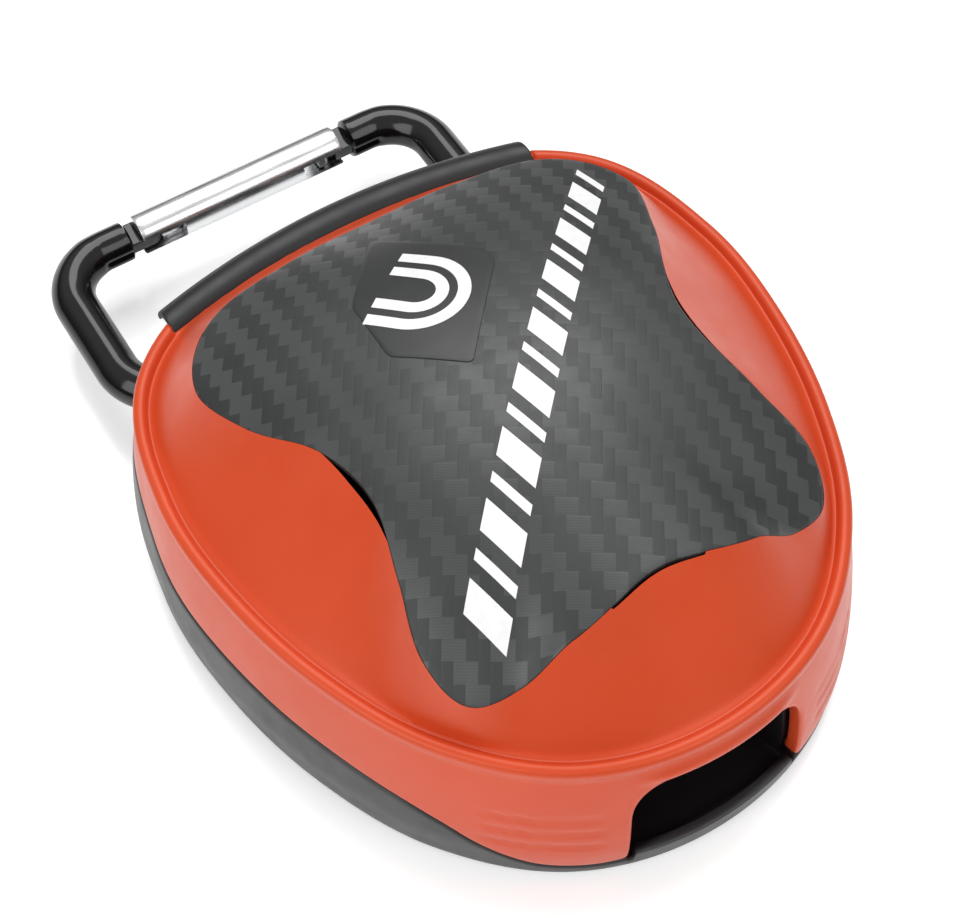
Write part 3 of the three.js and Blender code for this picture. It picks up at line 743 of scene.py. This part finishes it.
def flat_plate(name, outlines, low_z, high_z, material, body, bevel=0.2):
    """Closed outlines in X and Y raised along Z with rounded edges."""
    piece = extruded_profile(name, outlines, low_z, high_z, material, body, bevel)
    mesh = piece.data
    turned = [(vertex.co.y, vertex.co.z, vertex.co.x) for vertex in mesh.vertices]
    for vertex, place in zip(mesh.vertices, turned):
        vertex.co = place
    mesh.update()
    return piece


def carabiner_tongues(material):
    y, z = CARABINER["gate"], CARABINER["z"]
    start, end = FRAME_ENDS
    hinge = arc(GATE_PIVOT_X, y, 2.2, -90, 90) + [(start - 1, y + 2.2), (start - 1, y - 2.2)]
    flat_plate("gate_hinge_tongue", [hinge], z - 1, z + 1, material, "carabiner")
    catch = 0.95
    nose = [(LATCH_X - 2, y - 2.2), (LATCH_X - catch, y - 2.2), (LATCH_X - catch, y + catch),
            (LATCH_X + catch, y + catch), (LATCH_X + catch, y - 2.2), (end + 1, y - 2.2), (end + 1, y + 2.2),
            (LATCH_X - 2, y + 2.2)]
    flat_plate("gate_nose_tongue", [nose], z - 1, z + 1, material, "carabiner", 0.1)


def carabiner_gate(material):
    """A rod slotted at both ends for the frame's tongues, with a bore for the spring and its plunger."""
    y, z, radius = CARABINER["gate"], CARABINER["z"], GATE["radius"]
    turn = np.radians(np.linspace(0, 360, 96, endpoint=False))

    def turned(profile):
        rows = [np.column_stack([np.full(96, x), y + reach * np.cos(turn), z + reach * np.sin(turn)])
                for x, reach in profile]
        return capped_grid(rows)

    end = [(0, radius - 0.3), (0.03, radius - 0.17), (0.1, radius - 0.08), (0.3, radius)]
    profile = [(GATE["left"] + x, reach) for x, reach in end]
    profile += [(x, radius) for x in np.linspace(GATE["left"] + 1, GATE["right"] - 1, 36)]
    profile += [(GATE["right"] - x, reach) for x, reach in reversed(end)]
    vertices, faces = turned(profile)
    hollow, inner_faces = turned([(x, GATE["bore"]) for x in GATE_BORE_ENDS])
    faces += [tuple(index + len(vertices) for index in reversed(face)) for face in inner_faces]
    vertices = np.concatenate([vertices, hollow])
    piece = make_object("gate_tube", vertices, faces, material, "gate", 30)
    half = GATE["slot"] / 2
    reach = GATE["slot_length"]
    cut_boxes(piece, [
        ((GATE["left"] - 1, y - 4, z - half), (GATE["left"] + reach, y + 4, z + half)),
        ((GATE["right"] - reach, y - 4, z - half), (GATE["right"] + 1, y + 4, z + half)),
    ])
    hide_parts("carabiner_gate")
    return piece


def cut_boxes(piece, boxes):
    """Cuts boxes out of a piece and keeps the result as its mesh."""
    corners = [(x, y, z) for x in (0, 1) for y in (0, 1) for z in (0, 1)]
    quads = [(0, 1, 3, 2), (4, 6, 7, 5), (0, 4, 5, 1), (2, 3, 7, 6), (0, 2, 6, 4), (1, 5, 7, 3)]
    cutters = []
    for index, (low, high) in enumerate(boxes):
        mesh = bpy.data.meshes.new("cutter")
        span = (low, high)
        points = [tuple(span[pick][axis] * MM for axis, pick in enumerate(corner)) for corner in corners]
        mesh.from_pydata(points, [], quads)
        cutter = bpy.data.objects.new("cutter", mesh)
        bpy.context.scene.collection.objects.link(cutter)
        modifier = piece.modifiers.new(f"cut_{index}", "BOOLEAN")
        modifier.operation = "DIFFERENCE"
        modifier.solver = "EXACT"
        modifier.object = cutter
        cutters.append(cutter)
    evaluated = piece.evaluated_get(bpy.context.evaluated_depsgraph_get())
    result = bpy.data.meshes.new_from_object(evaluated)
    result.polygons.foreach_set("use_smooth", [True] * len(result.polygons))
    result.set_sharp_from_angle(angle=math.radians(30))
    piece.modifiers.clear()
    piece.data = result
    for cutter in cutters:
        bpy.data.objects.remove(cutter)


# ---- the mouthguard ----
def arch_route(count=90):
    """The middle line of the arch in plan, with the outward direction at each point."""
    across, deep, leg, shift = 25.5, 22.0, 20.0, -2.0
    sweep = np.radians(np.linspace(-90, 90, count))
    curve = np.column_stack([across * np.sin(sweep), -deep * np.cos(sweep)])
    legs = np.linspace(leg, 0.6, 22)
    left = np.column_stack([np.full(22, -across), legs])
    right = np.column_stack([np.full(22, across), legs[::-1]])
    line = np.concatenate([left, curve, right])
    tangent = directions(line)
    outward = np.stack([tangent[:, 1], -tangent[:, 0]], axis=-1)
    return line + np.array([0, shift]), outward


def arch_sweep(name, section_at, material, node):
    """Draws a section of (offset, height) round the arch; section_at gets 0 at the front, 1 at the ends."""
    line, outward = arch_route()
    count = len(line)
    rows = []
    for index in range(count):
        share = abs(2 * index / (count - 1) - 1)
        edge = min(index, count - 1 - index)
        section = rounded_section(section_at(share))
        middle = section.mean(axis=0)
        shrink = (0.72, 0.88, 0.96, 1.0)[min(edge, 3)]
        section = middle + (section - middle) * shrink
        plan = line[index] + section[:, :1] * outward[index]
        rows.append(np.column_stack([plan, section[:, 1]]))
    vertices, faces = capped_grid(rows)
    piece = make_object(name, vertices, faces, material, "root", 60)
    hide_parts(node)
    return piece


def rounded_section(corners):
    """A closed section with rounded corners and always the same number of points."""
    loop = list(corners)
    first = tuple((np.array(loop[0][:2]) + np.array(loop[-1][:2])) / 2)
    line = rounded_corners([(*first, 0), *loop, (*first, 0)], 0.05)
    chosen = line[np.linspace(0, len(line) - 1, 73).round().astype(int)[:-1]]
    return chosen


def guard_section(share):
    drop = 5.5 * share ** 1.5
    frenum = 3.2 * math.exp(-((share / 0.05) ** 2))
    outer_top = 22.3 - drop - frenum
    inner_top = 15.3 - 0.45 * drop
    return [(-5.9, 2.55, 1.6), (6.1, 2.55, 1.8), (6.1, outer_top, 1.2), (3.7, outer_top, 1.2),
            (3.5, 6.6, 1.2), (-3.4, 6.6, 1.2), (-3.5, inner_top, 1.2), (-5.9, inner_top, 1.2)]


def liner_section(share):
    top = 14.2 - 2.0 * share ** 1.5
    return [(-3.05, 6.95, 0.8), (3.2, 6.95, 0.8), (3.25, top, 0.5), (2.1, top, 0.5), (1.7, 8.3, 0.9),
            (-1.7, 8.3, 0.9), (-2.0, top, 0.5), (-3.05, top, 0.5)]


# ---- materials ----
class Nodes:
    """A short way to write a material's nodes."""

    def __init__(self, name):
        self.material = bpy.data.materials.new(name)
        self.material.use_nodes = True
        self.tree = self.material.node_tree
        self.shader = self.tree.nodes["Principled BSDF"]
        self.place = self.add("ShaderNodeTexCoord").outputs["Object"]

    def add(self, kind, inputs=(), **settings):
        node = self.tree.nodes.new(kind)
        for key, value in settings.items():
            setattr(node, key, value)
        for key, value in dict(inputs).items():
            self.join(value, node.inputs[key])
        return node

    def join(self, value, socket):
        if isinstance(value, bpy.types.NodeSocket):
            self.tree.links.new(value, socket)
        else:
            socket.default_value = value

    def math(self, operation, first, second=0.0):
        node = self.add("ShaderNodeMath", operation=operation)
        self.join(first, node.inputs[0])
        self.join(second, node.inputs[1])
        return node.outputs[0]

    def noise(self, scale, detail=3.0, rough=0.5, vector=None):
        node = self.add("ShaderNodeTexNoise", {"Scale": scale, "Detail": detail, "Roughness": rough})
        self.join(vector or self.place, node.inputs["Vector"])
        return node.outputs["Fac"]

    def spread(self, value, low, high, start=0.3, end=0.7):
        ends = {"From Min": start, "From Max": end, "To Min": low, "To Max": high}
        node = self.add("ShaderNodeMapRange", ends)
        self.join(value, node.inputs["Value"])
        return node.outputs["Result"]

    def mix(self, share, first, second):
        node = self.add("ShaderNodeMix", data_type="RGBA")
        self.join(share, node.inputs[0])
        self.join(first, node.inputs[6])
        self.join(second, node.inputs[7])
        return node.outputs[2]

    def bump(self, height, distance, strength=1.0, normal=None):
        node = self.add("ShaderNodeBump", {"Strength": strength, "Distance": distance})
        self.join(height, node.inputs["Height"])
        if normal:
            self.join(normal, node.inputs["Normal"])
        return node.outputs["Normal"]

    def finish(self, **values):
        for key, value in values.items():
            self.join(value, self.shader.inputs[key.replace("_", " ")])
        return self.material


def red_plastic():
    nodes = Nodes("lid_red_plastic")
    cloud = nodes.noise(45, 2)
    colour = nodes.mix(nodes.spread(cloud, 0, 1), (0.6, 0.062, 0.016, 1), (0.64, 0.07, 0.02, 1))
    rough = nodes.spread(nodes.noise(260, 4), 0.3, 0.38)
    grain = nodes.bump(nodes.noise(2600, 2), 0.00003, 0.25)
    return nodes.finish(Base_Color=colour, Roughness=rough, Normal=grain, Specular_Tint=(1, 0.66, 0.55, 1))


def plastic_nodes(name, colour, rough, grain_size):
    """Nodes with a moulded plastic's shine and grain set, and the colour that goes with them."""
    nodes = Nodes(name)
    light = tuple(value * 1.25 for value in colour) + (1,)
    tone = nodes.mix(nodes.spread(nodes.noise(60, 3), 0, 1), (*colour, 1), light)
    shine = nodes.spread(nodes.noise(300, 3), rough - 0.04, rough + 0.05)
    grain = nodes.bump(nodes.noise(grain_size, 2), 0.00004, 0.35)
    nodes.finish(Roughness=shine, Normal=grain)
    return nodes, tone


def hinge_plastic():
    nodes, tone = plastic_nodes("hinge_dark_plastic", (0.007, 0.0075, 0.0075), 0.45, 1800)
    return nodes.finish(Base_Color=tone)


def base_plastic():
    """The base's plastic, with painted shade in the thumb recess behind its lip: its colour is darkened and
    its shine lowered there.
    """
    nodes, tone = plastic_nodes("base_black_plastic", (0.026, 0.026, 0.026), 0.4, 2200)
    part = nodes.add("ShaderNodeSeparateXYZ", {"Vector": nodes.place}).outputs
    depth = nodes.spread(part["Y"], 0, 1, RECESS_LIP_Y * MM, (RECESS_LIP_Y + 0.9) * MM)
    front = nodes.spread(part["Y"], 1, 0, -RECESS_BACK * MM, (0.5 - RECESS_BACK) * MM)
    aside = nodes.math("ABSOLUTE", part["X"])
    narrow = nodes.spread(aside, 1, 0, RECESS_HALF_WIDTH * MM, (RECESS_HALF_WIDTH + 0.5) * MM)
    # painted shade: the recess behind the lip is coloured near-black and its reflection turned down, standing
    # in for the shade inside it
    inside = nodes.math("MULTIPLY", nodes.math("MULTIPLY", depth, front), narrow)
    tone = nodes.mix(inside, tone, (0.008, 0.006, 0.007, 1))
    return nodes.finish(Base_Color=tone, Specular_IOR_Level=nodes.spread(inside, 0.5, 0.12, 0, 1))


def carbon_weave():
    """A two-by-two twill of flat tows, laid over the dome at an angle. Weft cells are coloured lighter and
    warp cells darker as painted reflection, and that contrast fades towards the dome's middle as a painted
    sheen.
    """
    nodes = Nodes("carbon_weave_panel")
    split = nodes.add("ShaderNodeSeparateXYZ")
    turned = nodes.add("ShaderNodeVectorRotate", {"Angle": math.radians(33)}, rotation_type="Z_AXIS")
    nodes.join(nodes.place, turned.inputs["Vector"])
    nodes.join(turned.outputs["Vector"], split.inputs[0])
    x = nodes.math("DIVIDE", split.outputs["X"], 0.00145)
    y = nodes.math("DIVIDE", split.outputs["Y"], 0.0022)
    column, row = nodes.math("FLOOR", x), nodes.math("FLOOR", y)
    part_x, part_y = nodes.math("FRACT", x), nodes.math("FRACT", y)
    phase = nodes.math("FLOORED_MODULO", nodes.math("ADD", column, row), 4.0)
    is_warp = nodes.math("LESS_THAN", phase, 1.5)

    def crown(part):
        centred = nodes.math("ABSOLUTE", nodes.math("SUBTRACT", part, 0.5))
        return nodes.math("SUBTRACT", 1.0, nodes.math("POWER", nodes.math("MULTIPLY", centred, 2.0), 4.0))

    def fibres(position):
        return nodes.math("SINE", nodes.math("MULTIPLY", position, 2 * math.pi * 7))

    def pick(warp, weft):
        chosen = nodes.math("MULTIPLY", is_warp, warp)
        other = nodes.math("MULTIPLY", nodes.math("SUBTRACT", 1.0, is_warp), weft)
        return nodes.math("ADD", chosen, other)

    line = pick(fibres(x), fibres(y))
    height = nodes.math("ADD", pick(crown(part_x), crown(part_y)), nodes.math("MULTIPLY", line, 0.1))
    squares = [nodes.math("MULTIPLY", split.outputs[axis], split.outputs[axis]) for axis in "XY"]
    from_middle = nodes.math("SQRT", nodes.math("ADD", *squares))
    # painted sheen: the warp and weft contrast fades towards the dome's middle, standing in for the highlight
    # that washes the weave out there
    painted_sheen_fade = nodes.spread(from_middle, 0.22, 1.0, 0.014, 0.036)
    # painted reflection: weft cells lighter and warp cells darker, standing in for the light that tows of
    # each direction reflect; the weave pattern itself is real
    level = nodes.math("ADD", nodes.math("MULTIPLY", is_warp, -0.46), 0.23)
    level = nodes.math("ADD", nodes.math("MULTIPLY", level, painted_sheen_fade), 0.47)
    level = nodes.math("ADD", level, nodes.math("MULTIPLY", line, 0.07))
    level = nodes.math("ADD", level, nodes.spread(nodes.noise(55, 2), -0.12, 0.12))
    colour = nodes.mix(level, (0.012, 0.013, 0.013, 1), (0.078, 0.08, 0.081, 1))
    normal = nodes.bump(height, 0.00004, 0.35)
    shine = nodes.spread(nodes.noise(400), 0.34, 0.42)
    rough = nodes.math("ADD", nodes.math("MULTIPLY", is_warp, 0.08), shine)
    return nodes.finish(Base_Color=colour, Roughness=rough, Normal=normal)


def badge_rubber():
    nodes = Nodes("badge_satin")
    tone = nodes.mix(nodes.noise(90), (0.024, 0.025, 0.026, 1), (0.032, 0.033, 0.034, 1))
    grain = nodes.bump(nodes.noise(3000, 2), 0.00002, 0.2)
    return nodes.finish(Base_Color=tone, Roughness=nodes.spread(nodes.noise(250), 0.36, 0.44), Normal=grain)


def white_ink():
    nodes = Nodes("white_print")
    tone = nodes.mix(nodes.spread(nodes.noise(900, 3), 0, 1), (0.82, 0.82, 0.82, 1), (0.9, 0.9, 0.9, 1))
    return nodes.finish(Base_Color=tone, Roughness=nodes.spread(nodes.noise(400), 0.4, 0.5))


def black_anodised():
    nodes = Nodes("carabiner_gloss_black")
    tone = nodes.mix(nodes.noise(120), (0.002, 0.002, 0.002, 1), (0.004, 0.004, 0.004, 1))
    rough = nodes.spread(nodes.noise(700, 4), 0.1, 0.16)
    grain = nodes.bump(nodes.noise(1500, 2), 0.00002, 0.15)
    return nodes.finish(Base_Color=tone, Roughness=rough, Normal=grain)


def silver(name, colour, rough):
    """Metal drawn along X, with fine lengthwise streaks."""
    nodes = Nodes(name)
    stretched = nodes.add("ShaderNodeMapping", {"Scale": (0.06, 1.0, 1.0)})
    nodes.join(nodes.place, stretched.inputs["Vector"])
    streaks = nodes.noise(2600, 2, 0.5, stretched.outputs["Vector"])
    tone = nodes.mix(nodes.spread(streaks, 0, 1), (*[value * 0.9 for value in colour], 1), (*colour, 1))
    shine = nodes.spread(streaks, rough - 0.05, rough + 0.08)
    grain = nodes.bump(streaks, 0.000004, 0.1)
    return nodes.finish(Base_Color=tone, Roughness=shine, Normal=grain, Metallic=1.0)


def moulded_rubber(name, colour, rough, soft=0.0):
    nodes = Nodes(name)
    deep = tuple(value * 0.8 for value in colour) + (1,)
    tone = nodes.mix(nodes.spread(nodes.noise(70, 3), 0, 1), deep, (*colour, 1))
    grain = nodes.bump(nodes.noise(1400, 3), 0.00004, 0.3)
    shine = nodes.spread(nodes.noise(250), rough - 0.05, rough + 0.06)
    return nodes.finish(Base_Color=tone, Roughness=shine, Normal=grain, Subsurface_Weight=soft)


def pale_floor():
    nodes = Nodes("pale_floor")
    tone = nodes.mix(nodes.noise(8), (0.9, 0.9, 0.9, 1), (0.92, 0.92, 0.92, 1))
    shine = nodes.spread(nodes.noise(30), 0.16, 0.2)
    return nodes.finish(Base_Color=tone, Roughness=shine, Emission_Color=(1, 1, 1, 1), Emission_Strength=0.3)


# ---- the room ----
def make_floor():
    size = 3.0
    mesh = bpy.data.meshes.new("studio_floor")
    corners = [(-size, -size, 0), (size, -size, 0), (size, size, 0), (-size, size, 0)]
    mesh.from_pydata(corners, [], [(0, 1, 2, 3)])
    mesh.materials.append(pale_floor())
    floor = bpy.data.objects.new("studio_floor", mesh)
    bpy.context.scene.collection.objects.link(floor)


def make_light(name, place, aim, size, power, spread=180):
    data = bpy.data.lights.new(name, "AREA")
    data.shape = "RECTANGLE"
    data.size, data.size_y = size
    data.energy = power
    data.spread = math.radians(spread)
    light = bpy.data.objects.new(name, data)
    bpy.context.scene.collection.objects.link(light)
    light.location = place
    direction = np.array(aim) - np.array(place)
    pitch = math.atan2(math.hypot(direction[0], direction[1]), -direction[2])
    light.rotation_euler = (pitch, 0, math.atan2(-direction[0], direction[1]))


def make_world(horizon, overhead):
    """A white tent, dim at the horizon and bright overhead."""
    world = bpy.data.worlds.new("studio")
    world.use_nodes = True
    tree = world.node_tree
    background = tree.nodes["Background"]
    background.inputs["Color"].default_value = (1, 1, 1, 1)
    place = tree.nodes.new("ShaderNodeTexCoord")
    split = tree.nodes.new("ShaderNodeSeparateXYZ")
    level = tree.nodes.new("ShaderNodeMapRange")
    level.interpolation_type = "SMOOTHSTEP"
    for name, value in (("From Min", 0.0), ("From Max", 0.7), ("To Min", horizon), ("To Max", overhead)):
        level.inputs[name].default_value = value
    tree.links.new(place.outputs["Generated"], split.inputs[0])
    tree.links.new(split.outputs["Z"], level.inputs["Value"])
    tree.links.new(level.outputs["Result"], background.inputs["Strength"])
    bpy.context.scene.world = world


def make_camera():
    data = bpy.data.cameras.new("camera")
    data.lens = 73.47
    data.sensor_width = 36
    data.clip_start = 0.01
    camera = bpy.data.objects.new("camera", data)
    bpy.context.scene.collection.objects.link(camera)
    camera.location = (-0.07836, -0.11847, 0.24405)
    camera.rotation_euler = (math.radians(90 - 57.22), 0, math.radians(-32.054))
    bpy.context.scene.camera = camera


# ---- the object ----
red = red_plastic()
base_black = base_plastic()
gloss_black = black_anodised()
white = white_ink()
steel = silver("drawn_steel", (0.62, 0.62, 0.64), 0.3)

lid_shell(red)
grip_overlay(carbon_weave())
badge_plate(badge_rubber())
badge_emblem(white)
diagonal_marks(white)
base_shell(base_black)
carabiner_lug(base_black)
hinge_knuckles(base_black, red)
hinge_cover(hinge_plastic())
carabiner_frame(gloss_black)
carabiner_tongues(gloss_black)
carabiner_gate(silver("gate_aluminium", (0.86, 0.87, 0.88), 0.24))
arch_sweep("mouthguard_tray", guard_section, moulded_rubber("guard_black_eva", (0.024, 0.025, 0.027), 0.42),
           "mouthguard_shell")
arch_sweep("mouthguard_gel", liner_section, moulded_rubber("guard_red_gel", (0.6, 0.035, 0.02), 0.36, 0.1),
           "mouthguard_liner")
for node in ("hinge_pin", "gate_pivot_pin", "gate_latch_pin", "gate_spring", "gate_plunger"):
    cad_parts[node].data.materials.clear()
    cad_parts[node].data.materials.append(steel)

make_floor()
make_world(0.07, 0.62)
make_light("back_softbox", (0.3, 0.46, 1.0), (0, 0, 0.02), (0.75, 0.75), 6.5)
make_light("left_softbox", (-0.85, -0.28, 0.62), (0, 0, 0.02), (0.8, 0.7), 4.2)
make_light("front_softbox", (0.3, -0.75, 0.8), (0, 0, 0.02), (0.6, 0.6), 2.2)
make_camera()
bpy.context.scene.view_settings.view_transform = "Standard"
